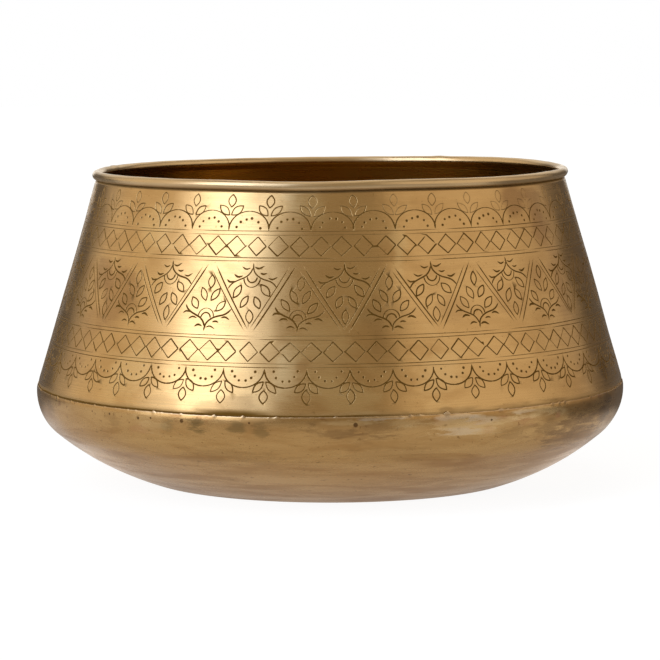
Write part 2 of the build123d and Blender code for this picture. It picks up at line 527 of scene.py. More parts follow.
def cut_borders():
    """The scribed lines between the bands: thin, long strokes that waver and fade."""
    for z in border_lines:
        phi = -pi + 0.02
        while phi < pi - 0.04:
            end = min(phi + vary(0.25, 1.1), pi - 0.02)
            n = max(3, int((end - phi) / 0.035))
            t = np.linspace(phi, end, n + 1)
            waver = 0.12 * np.sin(6 * t + z) + 0.08 * np.sin(17 * t + 2 * z) + vary(-0.1, 0.1)
            weight = vary(0.55, 1.2)
            share = tapered(n + 1, 0.1, 0.1)
            places = pair(t, z + waver)
            strokes.append(Stroke(places, 0.29 * weight ** 0.5 * share, 0.12 * weight * share))
            phi = end + vary(0.001, 0.012)


# The leaves of a sprig: place, length, width and angle of each.
up_leaves = (((0.3, 19.7), 8.4, 5.0, 0), ((-4.3, 13.3), 9.4, 4.5, -44), ((4.6, 13.1), 9.4, 4.5, 50))
down_leaves = (((0.2, -18.2), 8.8, 5.0, 0), ((-3.9, -12.1), 9.3, 4.4, 46), ((4.5, -12.2), 9.3, 4.4, -43))
cut_scallops(count=39, first=5.03, z=178.6, way=1, rise=13.0, thin=0.5, leaves=up_leaves)
cut_lozenges(count=78, first=-1.98, low=163.1, high=175.9, share=0.95)
cut_zigzag(count=19, first=-6.8)
cut_lozenges(count=87, first=0.68, low=98.4, high=111.3, share=0.96)
cut_scallops(count=45, first=-4.31, z=94.9, way=-1, rise=12.4, thin=0.85, leaves=down_leaves)
cut_borders()


# From strokes to a surface: each band of the wall is triangulated round its strokes

engraved_low, engraved_high = 72.0, 201.8
band_edges = (engraved_low, 96.4, 113.3, 161.15, 177.5, engraved_high)
band_margin = 0.6
seam_margin = 0.012
flat_radius = 180.0
flat_half = pi * flat_radius
grid_step = 7.0
clear_of_sides, clear_of_cuts = 2.0, 1.6

# A stroke narrower than this has one point instead of three. A face less deep than this is smooth.
least_half_width = 0.02
least_depth = 0.004

# The share of a cut's depth that counts for its patina, and the same for dots, whose rims stay bright.
stain_share, dot_stain = 0.35, 0.14

# A dot's corners, and the shares of its radius that have a ring of points.
dot_sides, dot_rings = 8, (1.0, 0.55)


def to_flat(phi, z):
    """Unrolled coordinates in millimetres: round the wall at one radius, and up its slope."""
    return pair(phi / (pi - np.arcsin(seam_half_width / cone_radius(z))) * flat_half, z * slant)


def from_flat(flat):
    z = flat[:, 1] / slant
    return seam_angle(flat[:, 0] / flat_half, cone_radius(z)), z


def flat_ring(z):
    """A level ring of the wall in flat coordinates."""
    return pair(np.linspace(-1, 1, columns + 1) * flat_half, np.full(columns + 1, z * slant))


def stroke_chains(stroke):
    """A stroke's left edge, middle and right edge in flat coordinates."""
    phi, z = stroke.places.T
    r = cone_radius(z)
    along = unit(np.gradient(pair(phi * r.mean(), z * slant), axis=0))
    side = pair(-along[:, 1] / r, along[:, 0] / slant) * stroke.half_width[:, None]
    return [to_flat(phi + s * side[:, 0], z + s * side[:, 1]) for s in (1, 0, -1)]


def flat_tree(points):
    """A search tree of flat points."""
    tree = kdtree.KDTree(len(points))
    for i, p in enumerate(points):
        tree.insert((p[0], p[1], 0), i)
    tree.balance()
    return tree


def band_of(z):
    return int(np.searchsorted(band_edges, z)) - 1


def triangulate_band(index, band_strokes, band_dots):
    """Flat points, triangles and their sources in one band between two rings of the wall."""
    low, high = band_edges[index], band_edges[index + 1]
    points, edges = [], []

    def chain(flat, closed=False):
        first, n = len(points), len(flat)
        points.extend(map(tuple, flat))
        edges.extend((first + i, first + (i + 1) % n) for i in range(n if closed else n - 1))

    chain(flat_ring(low))
    chain(flat_ring(high))
    rows = max(1, round((high - low) * slant / grid_step))
    heights = np.linspace(low, high, rows + 1)[1:-1] * slant
    for side in (-flat_half, flat_half):
        chain([(side, h) for h in [low * slant, *heights, high * slant]])

    # A loose grid of points where there are no strokes.
    cuts = [to_flat(*s.places.T) for s in band_strokes] + [to_flat(*np.array([d[:2]]).T) for d in band_dots]
    tree = flat_tree(np.concatenate([[(0, -1e6)], *cuts]))
    across = int(2 * flat_half / grid_step)
    for row, h in enumerate(heights):
        for i in range(1, across):
            x = -flat_half + (i + 0.5 * (row % 2)) * 2 * flat_half / across
            if abs(x) < flat_half - clear_of_sides and tree.find((x, h, 0))[2] > clear_of_cuts:
                points.append((x, h))

    for s in band_strokes:
        left, middle, right = stroke_chains(s)
        narrow = s.half_width < least_half_width
        numbers = []
        for flat in (left, middle, right):
            row = []
            for i, p in enumerate(flat):
                if narrow[i] and flat is not left:
                    row.append(numbers[0][i])
                else:
                    row.append(len(points))
                    points.append(tuple(middle[i] if narrow[i] else p))
            numbers.append(row)
            edges.extend((a, b) for a, b in zip(row, row[1:]) if a != b)
        for i in (0, -1):
            if not narrow[i]:
                edges.extend(((numbers[0][i], numbers[1][i]), (numbers[1][i], numbers[2][i])))
    turn = np.linspace(0, 2 * pi, dot_sides, endpoint=False)
    for phi, z, radius, _ in band_dots:
        for share in dot_rings:
            z_ring = z + radius * share * np.sin(turn) / slant
            chain(to_flat(phi + radius * share * np.cos(turn) / cone_radius(z_ring), z_ring), closed=True)
        points.append(tuple(to_flat(np.array([phi]), np.array([z]))[0]))

    made = geometry.delaunay_2d_cdt([Vector(p) for p in points], edges, [], 0, 1e-4)
    return np.array([tuple(v) for v in made[0]]), [tuple(f) for f in made[2]], made[3]


def cut_depths(flat, band_strokes, band_dots, stains=False):
    """How deep the graver went at each flat point, or how much of that the patina fills."""
    depth = np.zeros(len(flat))
    phi, z = from_flat(flat)
    r = cone_radius(z)
    tree = flat_tree(flat)

    def near(x, y, reach):
        return np.array([n for _, n, _ in tree.find_range((x, y, 0), reach)], int)

    for s in band_strokes:
        middle = to_flat(*s.places.T)
        for i in range(len(middle) - 1):
            a, b = middle[i], middle[i + 1]
            reach = np.linalg.norm(b - a) / 2 + 1.2 * max(s.half_width[i], s.half_width[i + 1])
            n = near(*(a + b) / 2, reach + 0.01)
            x0, x1 = (s.places[i:i + 2, :1] - phi[n]) * r[n]
            y0, y1 = (s.places[i:i + 2, 1:] - z[n]) * slant
            dx, dy = x1 - x0, y1 - y0
            t = np.clip(-(x0 * dx + y0 * dy) / np.maximum(dx * dx + dy * dy, 1e-9), 0, 1)
            away = np.hypot(x0 + t * dx, y0 + t * dy)
            half, bottom = (v[i] + t * (v[i + 1] - v[i]) for v in (s.half_width, s.depth))
            d = bottom * np.clip(1.02 - away / np.maximum(half, 1e-4), 0, 1) * (s.stain if stains else 1.0)
            depth[n] = np.maximum(depth[n], np.where(d > 0.03 * bottom, d, 0))
    for dot_phi, dot_z, radius, bottom in band_dots:
        n = near(*to_flat(np.array([dot_phi]), np.array([dot_z]))[0], 1.3 * radius)
        away = np.hypot((phi[n] - dot_phi) * r[n], (z[n] - dot_z) * slant) / radius
        pit = bottom * np.clip(1.02 - away ** 2, 0, 1) * (away < 0.97) * (dot_stain if stains else 1.0)
        depth[n] = np.maximum(depth[n], pit)
    return depth


def wall_point(phi, z, depth=0.0):
    """A point of the wall's outer face, sunk by a cut's depth."""
    return round_the_axis(phi, cone_radius(z) - depth / slant, z - depth * cone_slope / slant)


def wall_normal(phi, z):
    """The normal of the uncut face, by small differences."""
    step = 0.5
    up = wall_point(phi, z + step) - wall_point(phi, z - step)
    turn = step / cone_radius(z)
    return unit(np.cross(wall_point(phi + turn, z) - wall_point(phi - turn, z), up))


def add_engraved_face(skin):
    """Adds the cone of the wall, and returns its rings and the points up its two sides."""
    stroke_bands, dot_bands = [[] for _ in band_edges], [[] for _ in band_edges]
    for s in strokes:
        # Each stroke is turned to its place between the ends of the strip, and left out at the seam.
        phi, z = s.places.T
        phi += wrap(phi.mean()) - phi.mean()
        if np.abs(phi).max() < pi - seam_margin:
            index = band_of(z.mean())
            z[:] = np.clip(z, band_edges[index] + band_margin, band_edges[index + 1] - band_margin)
            stroke_bands[index].append(s)
    for phi, z, radius, depth in dots:
        if abs(wrap(phi)) < pi - seam_margin:
            dot_bands[band_of(z)].append((wrap(phi), z, radius, depth))
    rings, sides = [skin.add(wall_point(*from_flat(flat_ring(z)))) for z in band_edges], ([], [])
    for index in range(len(band_edges) - 1):
        flat, triangles, origins = triangulate_band(index, stroke_bands[index], dot_bands[index])
        depth = cut_depths(flat, stroke_bands[index], dot_bands[index])
        # Points of the two rings are there already. The rest are added.
        known = rings[index] + rings[index + 1]
        number = {i: known[k] for i, sources in enumerate(origins) for k in sources if k < len(known)}
        fresh = [i for i in range(len(flat)) if i not in number]
        depth[list(number)] = 0
        phi, z = from_flat(flat)
        points, normals = wall_point(phi, z, depth), wall_normal(phi, z)
        stain = cut_depths(flat, stroke_bands[index], [], stains=True)
        number.update(zip(fresh, skin.add(points[fresh], np.maximum(stain, stain_share * depth)[fresh])))
        for side, edge in zip(sides, (-flat_half, flat_half)):
            on_edge = sorted(np.flatnonzero(np.abs(flat[:, 0] - edge) < 1e-3), key=lambda i: flat[i][1])
            side.extend(number[i] for i in on_edge[1:])
        for a, b, c in triangles:
            ab, ac = flat[b] - flat[a], flat[c] - flat[a]
            if ab[0] * ac[1] < ac[0] * ab[1]:
                b, c = c, b
            corners = [number[a], number[b], number[c]]
            if len(set(corners)) < 3:
                continue
            if max(depth[a], depth[b], depth[c]) > least_depth:
                across = unit(np.cross(points[b] - points[a], points[c] - points[a]))
                skin.face(corners, [across] * 3, smooth=False)
            else:
                skin.face(corners, [normals[a], normals[b], normals[c]])
    return rings, [side[:-1] for side in sides]


# The pieces

# Parts of the section that two pieces share.
outer_foot = arc(belly_centre, wall_outer_arc, wall_edge_angle, cone_angle, 9)
neck_out = bend(cone_foot, neck_corner, neck_touch, neck_bend + wall_sheet, 5)
neck_in = bend(polar(rim_centre, curl_outer, curl_start), neck_inner_corner, cone_inner_foot, neck_bend, 4)
inner_foot = arc(belly_centre, wall_inner_arc, cone_angle, wall_edge_angle, 9)[1:]

# The value of painted shade under the bead, held with the patina, and the values that lead to the brown
# painted shade inside the pot.
under_bead_shade = 0.045
towards_inside_shade = [-0.35, -0.5, -0.7, -0.9, -1.0]


def curl_wander(phi):
    """How the curl's free edge strays round the wire, in radians."""
    return (0.045 * np.sin(6 * phi + 1.0) + 0.05 * np.sin(13 * phi + 2.2) + 0.035 * np.sin(29 * phi)
            + 0.025 * np.sin(53 * phi + 0.7))


# Lumps on the bead: place and half width in degrees, and height.
bead_lumps = (
    (-107, 2.5, 0.4), (-101, 1.8, 0.25), (65, 2.0, 0.2), (-72, 2.0, 0.15), (88, 2.2, 0.25), (150, 2.4, 0.3))


def make_wall(material):
    """The wall, with its engraving and its curled edge."""
    skin = Skin()

    def angles(r):
        return seam_angle(np.linspace(-1, 1, columns + 1), r)

    rings, sides = add_engraved_face(skin)
    low_normals, high_normals = (wall_normal(*from_flat(flat_ring(z))) for z in (engraved_low, engraved_high))
    place = angles(rim_radius)
    wander = curl_wander(place)
    curl_end = curl_start + curl_end_turn + wander
    full = 2 * pi - curl_end_turn - wander

    foot = outer_foot + [(cone_radius(engraved_low), engraved_low)]
    lower = add_run(skin, turn_section(foot, angles), last=rings[0], last_normals=low_normals)
    inside_curl = [polar(rim_centre, curl_inner, curl_start - full * t) for t in np.linspace(0, 1, 15)]
    head = [(cone_radius(engraved_high), engraved_high)] + neck_out + inside_curl
    # Painted shade up the neck, deepest under the bead.
    neck_shade = [0, 0, 0, 0.01, 0.02, 0.032, 0.04] + [under_bead_shade] * len(inside_curl)
    upper = add_run(skin, turn_section(head, angles), first=rings[-1], first_normals=high_normals, cut=neck_shade)

    # The free edge's outer corner is eased, and the bead has low lumps left by the mallet.
    edge = [polar(rim_centre, curl_inner + wall_sheet * t, curl_end) for t in (0, 0.45, 0.72, 0.9)]
    edge.append(polar(rim_centre, curl_outer - 0.02, curl_end + 0.03))
    lumps = 0.05 * np.sin(17 * place + 0.4) * np.sin(3 * place) + 0.035 * np.sin(41 * place + 1)
    lumps += sum(rise * hump(place, at, width) for at, width, rise in bead_lumps)
    bead = [polar(rim_centre, curl_outer + lumps * sin(pi * t) ** 0.5, curl_end + 0.1 + (full - 0.1) * t)
            for t in np.linspace(0, 1, 22)]
    inner = line(neck_in[-1], cone_inner_foot, 16)[1:] + inner_foot
    # Painted shade under the bead's free edge, fading round the bead, then the brown painted shade inside the
    # pot.
    inside = [under_bead_shade] * len(edge) + [0.037, 0.034, 0.03, 0.022, 0.015, 0.01]
    inside += [0.0] * (len(edge + bead) - len(inside) - 5) + towards_inside_shade + [-1.0] * len(neck_in + inner)
    back = add_run(skin, turn_section(edge + bead + neck_in + inner, angles), first=upper[-1], cut=inside)
    join_rings(skin, back[-1], lower[0])

    for side, column in enumerate((0, -1)):
        loop = [ring[column] for ring in lower] + sides[side] + [ring[column] for ring in upper + back[1:]]
        cap(skin, loop, side == 0)
    wall = skin.build("wall_sheet", material)
    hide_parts("wall")


def make_side_braze(material):
    """The braze in the side seam: nearly flush outside, a low ridge inside."""
    skin = Skin()
    u = np.linspace(-1, 1, 7)
    crown = 0.025 * (1 - u ** 2)

    def angles(r):
        return pi + u * np.arcsin(seam_half_width / r)

    def proud(points, amount):
        return [(r + amount * crown * (1 + 0.6 * np.sin(z / 1.9) * np.sin(z / 5.3)), z) for r, z in points]

    face = proud(line(cone_foot, neck_out[0], 40)[1:-1], 1.0)
    full = 2 * pi - curl_end_turn
    inside_curl = arc(rim_centre, curl_inner, curl_start, curl_start - full, 14)
    bead = proud(arc(rim_centre, curl_outer, curl_start + curl_end_turn, curl_start + 2 * pi, 20), 0.3)
    ridge = [(r - seam_crown * min(1, 2 * min(i, 40 - i) / 6) * (0.75 + 0.25 * np.sin(z / 2.3)), z)
             for i, (r, z) in enumerate(line(neck_in[-1], cone_inner_foot, 40))]
    inner = neck_in + ridge[1:] + inner_foot
    front = add_run(skin, turn_section(outer_foot + face + neck_out + inside_curl, angles))
    # The brown painted shade inside the pot.
    inside = [0.0] * (len(bead) - 5) + towards_inside_shade + [-1.0] * len(inner)
    back = add_run(skin, turn_section(bead + inner, angles), cut=inside)
    join_rings(skin, front[-1], back[0])
    join_rings(skin, back[-1], front[0])
    cap_ends(skin, front + back)
    piece = skin.build("side_seam_braze", material)
    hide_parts("side_braze")


def make_wire(material):
    """The wire inside the curl."""
    skin = Skin()

    def angles(r):
        return np.linspace(-1, 1, columns + 1) * (pi - np.arcsin(wire_half_gap / r))

    section = turn_section(arc(rim_centre, wire_radius, 0, 2 * pi, 14), angles)
    cap_ends(skin, add_run(skin, section, closed_section=True)[:-1])
    piece = skin.build("rim_wire_ring", material)
    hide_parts("rim_wire")


# The largest burrs on the front of the bowl's edge: place in degrees, width and height.
front_burrs = (
    (-76, 1.0, 0.9), (-63.9, 1.2, 0.9), (-57.5, 1.2, 0.5), (-49.4, 1.5, 0.6), (-34.0, 1.7, 0.7),
    (-28, 1.5, 0.4), (-21.3, 1.8, 0.8), (-15.8, 1.5, 0.9), (-9.5, 1.6, 0.5), (1, 1.6, 0.35),
    (14.6, 1.3, 0.6), (16.3, 3.2, 0.6), (21.5, 2.4, 1.8), (32.7, 2.6, 1.0), (34.2, 1.5, 0.6),
    (45.5, 2.0, 0.7), (47.4, 1.7, 0.8), (49, 1.7, 0.9), (58, 1.4, 0.7))


def burrs(phi):
    """How far the bowl's edge stands out and up where the snips and hammer left it rough."""
    out, up = np.zeros_like(phi), np.zeros_like(phi)
    marks = [(radians(place), width, height) for place, width, height in front_burrs]
    place = 1.15
    while place < 2 * pi - 1.4:
        marks.append((place, vary(0.8, 1.8), vary(0.4, 1.0)))
        place += rng.choice([0.03, 0.07, 0.13], p=[0.2, 0.4, 0.4]) * vary(0.6, 1.5)
    for place in np.arange(-pi, pi, 0.035):
        marks.append((place + vary(-0.012, 0.012), vary(0.7, 2.0), vary(0.05, 0.25)))
    for place, width, height in marks:
        away = np.abs(wrap(phi - place)) * belly_radius / width
        rise = height * np.clip(1 - away ** 1.6, 0, 1)
        out += 0.35 * rise
        up += rise
    return np.minimum(out, burr_reach), up


def add_stitch(skin, coarse, fine, coarse_normals, fine_normals, flip):
    """Joins a ring to a finer one, with edge_share of its points to each of the first ring's."""
    n, half = len(coarse), edge_share // 2

    def triangle(*corners):
        order = corners[::-1] if flip else corners
        skin.face([ring[i] for ring, _, i in order], [normals[i] for _, normals, i in order])

    for k in range(n):
        near, far = (coarse, coarse_normals, k), (coarse, coarse_normals, (k + 1) % n)
        steps = [(fine, fine_normals, (edge_share * k + i) % len(fine)) for i in range(edge_share + 1)]
        for i in range(edge_share):
            triangle(near if i < half else far, steps[i + 1], steps[i])
        triangle(near, far, steps[half])


# The bowl's edge: share of the dressed strip, thickness of the sheet there, and share of the burrs.
edge_profile = ((0.4, 0.66, 0), (0.75, 0.57, 0.25), (0.93, 0.47, 0.8), (1.0, 0.32, 1), (1.05, 0.16, 1),
                (1.02, 0.03, 0.9), (0.8, 0, 0.2))


def make_bowl(material):
    """The bowl: one spun disc, with a thin, dressed edge round the lap. Its edge has more points
    round it than the rest, for the burrs."""
    skin = Skin()
    around = np.linspace(-pi, pi, bowl_columns, endpoint=False)
    edge_around = np.linspace(-pi, pi, bowl_columns * edge_share, endpoint=False)

    ring_inner = (base_radius - ring_width, 0)
    recess_edge = (ring_inner[0] - recess_depth / tan(recess_slope), recess_depth)
    recess_floor = opposite(recess_edge, 0, -recess_slope, bowl_sheet)
    ring_floor = opposite(ring_inner, -recess_slope, 0, bowl_sheet)
    inner_flank = flank_arc - bowl_sheet
    floor_edge = polar(flank_middle, inner_flank, asin((bowl_sheet - flank_middle[1]) / inner_flank))
    outer_bend = base_bend + bowl_sheet
    on_flank = polar(flank_middle, flank_arc, heading(flank_middle, base_edge) + flank_trim)
    on_inner_flank = polar(flank_middle, inner_flank, heading(flank_middle, floor_edge) + flank_trim)

    out = line((axis_edge, recess_depth), (recess_edge[0] - 6, recess_depth), 8)
    out += bends(((0, recess_depth), recess_edge, ring_inner, base_edge, on_flank),
                 (base_bend, outer_bend, outer_bend))
    out += arc(flank_middle, flank_arc, heading(flank_middle, out[-1]), flank_top, 14)[1:]
    dressing_angle = bowl_edge_angle - bowl_edge_dressing / belly_arc
    out += arc(belly_centre, belly_arc, flank_top, dressing_angle, 16)[1:]
    edge_out, edge_up = burrs(edge_around)
    wave = 0.12 * np.sin(9 * edge_around + 1)
    edge = []
    for share, thickness, burr in edge_profile:
        angle = dressing_angle + (bowl_edge_angle - dressing_angle) * share
        r, z = polar(belly_centre, bowl_inner_arc + thickness, angle)
        edge.append((r + edge_out * burr, z + edge_up * burr + wave * burr))

    inner = arc(belly_centre, bowl_inner_arc, dressing_angle, flank_top, 13)
    inner += arc(flank_middle, inner_flank, flank_top, heading(flank_middle, on_inner_flank), 12)[1:-1]
    inner += bends((on_inner_flank, floor_edge, ring_floor, recess_floor, (0, recess_floor[1])),
                   (base_bend, base_bend, outer_bend))
    inner += line((recess_floor[0] - 6, recess_floor[1]), (axis_edge, recess_floor[1]), 8)

    # The edge is a run of its own, stitched to the last coarse ring on either side.
    n = len(out)
    coarse = turn_section(out + inner, lambda r: around)
    fine = turn_section([out[-1]] + edge + [inner[0]], lambda r: edge_around)
    fine_normals = section_normals(fine, closed_round=True)
    first_edge, last_edge = fine[1][::edge_share], fine[-2][::edge_share]
    outer_end, inner_start = (section_normals(np.array(rows), closed_round=True)[1] for rows in (
        (coarse[n - 2], coarse[n - 1], first_edge), (last_edge, coarse[n], coarse[n + 1])))
    outer_rings = add_run(skin, coarse[:n], True, last_normals=outer_end)
    edge_rings = add_run(skin, fine[1:-1], True, first_normals=fine_normals[1], last_normals=fine_normals[-2])
    inner_rings = add_run(skin, coarse[n:], True, first_normals=inner_start)
    add_stitch(skin, outer_rings[-1], edge_rings[0], outer_end, fine_normals[1], False)
    add_stitch(skin, inner_rings[0], edge_rings[-1], inner_start, fine_normals[-2], True)
    for ring, z, way in ((outer_rings[0], recess_depth, -1), (inner_rings[-1], recess_floor[1], 1)):
        middle, = skin.add([(0, 0, z)])
        for a, b in zip(ring, ring[1:] + ring[:1]):
            skin.face([middle, a, b] if way > 0 else [middle, b, a], [(0, 0, way)] * 3)
    piece = skin.build("bowl_sheet", material)
    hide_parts("bowl")


def make_belly_braze(material):
    """The fillet of braze inside, under the wall's lower edge, run on by hand."""
    skin = Skin()
    around = np.linspace(-pi, pi, columns, endpoint=False)
    foot_angle = wall_edge_angle - braze_leg / wall_outer_arc
    a = polar(belly_centre, wall_inner_arc, wall_edge_angle)
    b = polar(belly_centre, wall_outer_arc, wall_edge_angle)
    c = polar(belly_centre, wall_outer_arc, foot_angle)
    ripple = 0.05 * np.sin(61 * around) + 0.04 * np.sin(97 * around + 1) + 0.04 * np.sin(23 * around)
    face = [(c[0] + (a[0] - c[0]) * t - (0.05 + ripple) * sin(pi * t), c[1] + (a[1] - c[1]) * t)
            for t in (0.65, 0.3, 0)]
    rings = add_run(skin, turn_section([b, a], lambda r: around), True)
    fillet = np.concatenate([[skin.points[rings[1]]], turn_section(face, lambda r: around)])
    inner = add_run(skin, fillet, True, first=rings[1])
    join_rings(skin, inner[-1], rings[0], True)
    piece = skin.build("belly_seam_braze", material)
    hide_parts("belly_braze")


# Materials

class Value:
    """A node's output. Sums, differences and products of values make nodes of their own."""

    def __init__(self, graph, socket):
        self.graph, self.socket = graph, socket

    def math(self, operation, *others):
        return self.graph.add("Math", self, *others, operation=operation)

    def vector(self, operation, *others, out=0):
        return self.graph.add("VectorMath", self, *others, operation=operation, out=out)

    def __add__(self, other):
        return self.math("ADD", other)

    def __sub__(self, other):
        return self.math("SUBTRACT", other)

    def __mul__(self, other):
        return self.math("MULTIPLY", other)

    def ramp(self, low, high, to_low=0.0, to_high=1.0, smooth=True):
        """The value's range brought to another, with its ends held."""
        return self.graph.add("MapRange", self, low, high, to_low, to_high,
                              interpolation_type="SMOOTHSTEP" if smooth else "LINEAR")

    def window(self, low, high, soft):
        """One between two limits and zero outside them, with soft sides."""
        return self.ramp(low - soft, low + soft) * self.ramp(high - soft, high + soft, 1, 0)

    def mix(self, a, b):
        """Two colours mixed, by this share of the second."""
        return self.graph.add("Mix", named={"Factor": self, "A": a, "B": b}, out="Result", data_type="RGBA")


class Graph:
    """A node tree with short calls."""

    def __init__(self, tree):
        self.tree = tree
        tree.nodes.clear()

    def add(self, kind, *values, named=None, out=0, **settings):
        """Adds a node. Its inputs, in order or by name, are constants or other nodes' values."""
        node = self.tree.nodes.new("ShaderNode" + kind)
        for key, value in settings.items():
            setattr(node, key, value)
        for key, value in (*enumerate(values), *(named or {}).items()):
            if isinstance(value, Value):
                self.tree.links.new(value.socket, node.inputs[key])
            else:
                node.inputs[key].default_value = (*value, 1.0) if node.inputs[key].type == "RGBA" else value
        return Value(self, node.outputs[out]) if node.outputs else None

    def noise(self, place, across, along, detail=2.0, roughness=0.5, distortion=0.0):
        """Noise with its scale round the pot and along its section, in cells per metre."""
        place = place.vector("MULTIPLY", (across, across, along))
        return self.add("TexNoise", named={"Vector": place, "Scale": 1.0, "Detail": detail,
                                           "Roughness": roughness, "Distortion": distortion})

    def straight_ray(self):
        """One for rays that come straight from the camera, also through the backdrop."""
        return self.add("LightPath", out="Is Camera Ray").math(
            "MAXIMUM", self.add("LightPath", out="Is Transmission Ray"))


def start_material(name):
    material = bpy.data.materials.new(name)
    material.use_nodes = True
    return material, Graph(material.node_tree)


def round_axis(graph, source):
    """Coordinates, the angle round the axis in degrees, and the distance from the axis."""
    at = graph.add("TexCoord", out=source)
    x, y, z = (graph.add("SeparateXYZ", at, out=axis) for axis in "XYZ")
    return x, y, z, x.math("ARCTAN2", y * -1.0) * (180 / pi), (x * x + y * y).math("SQRT")


def on_the_pot(graph, way):
    """Coordinates in metres: x and y, which go round the pot, and the run along its section, which
    leads outwards (1) or inwards (-1) as it rises. Then the height above the foot, less the tilt,
    and the angle round the axis in degrees."""
    x, y, z, angle, out = round_axis(graph, "Object")
    return graph.add("CombineXYZ", x, y, z + out * way), z - x * rim_lean, angle


def finish_metal(graph, base, roughness, height, distance, anisotropic=0.0, metallic=1.0):
    """The metal's shader, with its bump, and constants on its own sockets."""
    bump = graph.add("Bump", named={"Strength": 1.0, "Distance": distance, "Height": height})
    inputs = {"Base Color": base, "Metallic": metallic, "Roughness": roughness, "Normal": bump,
              "Specular IOR Level": 0.0, "Anisotropic": anisotropic, "Anisotropic Rotation": 0.25}
    if anisotropic:
        inputs["Tangent"] = graph.add("Tangent", direction_type="RADIAL", axis="Z")
    graph.add("OutputMaterial", graph.add("BsdfPrincipled", named=inputs))


# The height of the joint between wall and bowl, and of the bead's lower edge, in metres.
seam_level = (belly_height + bowl_inner_arc * sin(bowl_edge_angle)) * MM
bead_level = 0.2040


def surface_place(phi, z):
    """A place on the outside in metres, for an angle in degrees and a height in millimetres."""
    if z > cone_foot[1]:
        r = cone_radius(z)
    elif z > flank_top_height:
        r = belly_centre[0] + sqrt(belly_arc ** 2 - (z - belly_height) ** 2)
    else:
        r = flank_middle[0] + sqrt(flank_arc ** 2 - (z - flank_middle[1]) ** 2)
    return (round_the_axis(radians(phi), r, z) * MM).tolist()


def add_patches(graph, base, ragged, patches):
    """Patches with ragged edges. Each is a place in degrees and a height, a half width and a half
    height in millimetres, a share, and a colour."""
    at = graph.add("TexCoord", out="Object")
    for phi, z, wide, high, share, tint in patches:
        apart = at.vector("SUBTRACT", surface_place(phi, z))
        apart = apart.vector("MULTIPLY", (1000 / wide, 1000 / wide, 1000 / high))
        reach = apart.vector("LENGTH", out="Value") + ragged
        base = reach.ramp(0.35, 1.25, share, 0).mix(base, tint)
    return base


# Patches on the wall. The patina and brown ones are partly real patina and soot and partly painted shade
# where the studio's reflection is darker. The pale ones are partly wear and partly painted highlight that
# widens the reflection of the lights.
patina, pale_wear_and_highlight, brown = (0.33, 0.18, 0.075), (0.74, 0.515, 0.245), (0.26, 0.145, 0.055)
wall_patches = (
    (-50, 133, 16, 24, 0.65, patina), (-57, 146, 9, 14, 0.5, patina), (-46, 128, 8, 8, 0.3, brown),
    (-57, 116, 14, 14, 0.4, patina), (-61, 90, 12, 18, 0.3, patina), (-50, 182, 12, 22, 0.25, patina),
    (-17, 73, 15, 7, 0.6, brown), (-22, 69, 13, 6, 0.5, brown), (-34, 70, 16, 6, 0.3, brown),
    (-1, 178, 17, 11, 0.15, brown), (-15, 128, 11, 20, 0.3, patina), (57, 140, 12, 32, 0.4, patina),
    (0, 102, 26, 24, 0.6, pale_wear_and_highlight), (3, 76, 26, 14, 0.6, pale_wear_and_highlight), (9, 113, 12, 20, 0.3, brown),
    (-6, 197, 14, 18, 0.7, pale_wear_and_highlight), (-8, 92, 9, 30, 0.7, pale_wear_and_highlight), (14.5, 165, 6, 28, 0.6, pale_wear_and_highlight),
    (20, 90, 16, 22, 0.45, pale_wear_and_highlight), (-41, 178, 16, 24, 0.5, pale_wear_and_highlight), (-43, 90, 20, 22, 0.5, pale_wear_and_highlight),
    (67, 80, 12, 14, 0.55, brown), (21.5, 67.6, 5, 2.0, 0.45, brown), (34, 67.3, 12, 1.0, 0.35, brown),
    (48, 67.3, 9, 1.0, 0.4, brown), (47, 194, 11, 16, 0.75, patina), (54, 178, 12, 24, 0.7, patina),
    (40, 132, 16, 12, 0.35, patina), (26, 128, 12, 9, 0.3, patina), (49, 145, 12, 16, 0.4, patina),
    (112, 150, 26, 30, 0.5, patina), (168, 95, 30, 24, 0.5, patina), (-140, 168, 34, 20, 0.5, patina),
    (-105, 92, 22, 26, 0.4, pale_wear_and_highlight), (140, 120, 24, 18, 0.4, pale_wear_and_highlight))


